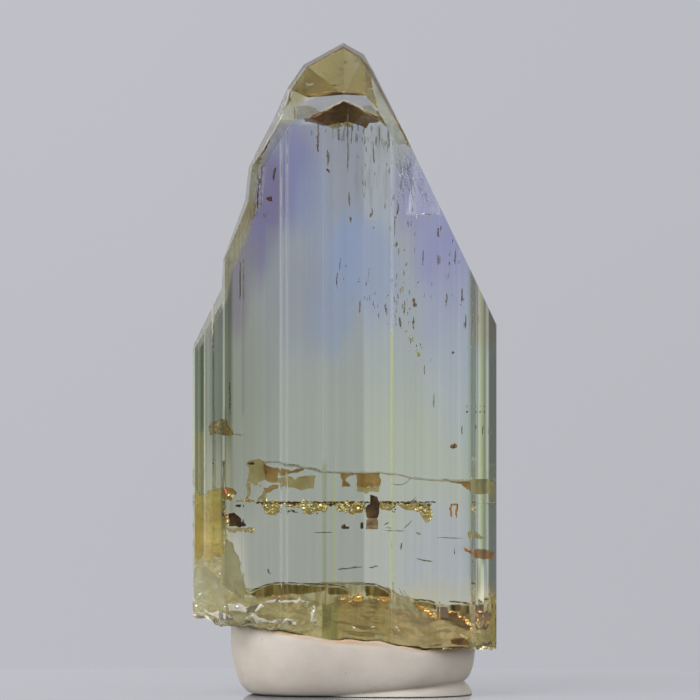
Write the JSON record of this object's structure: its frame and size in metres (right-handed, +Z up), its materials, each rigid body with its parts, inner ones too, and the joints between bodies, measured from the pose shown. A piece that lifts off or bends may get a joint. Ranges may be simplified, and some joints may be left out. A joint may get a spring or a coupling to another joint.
{
  "type": "tanzanite crystal on a putty pad",
  "caption": "Upright see-through prismatic crystal with a stepped, pointed top and a rough broken base, standing on a soft rounded pad of white putty.",
  "frame": {"origin": "on the table, under the middle of the crystal's bounding box", "axes": "+Z up along the crystal's growth direction to its tip, -Y out of the broad flat front face, +X to the right as seen from the front"},
  "size_m": [0.014, 0.0088, 0.0301],
  "materials": {
    "tanzanite": "clear, flat polished faces with fine growth lines, rough broken base",
    "putty": "matt, soft off-white putty"
  },
  "bodies": {
    "root": {"crystal": "tanzanite", "putty_pad": "putty"}
  },
  "joints": []
}
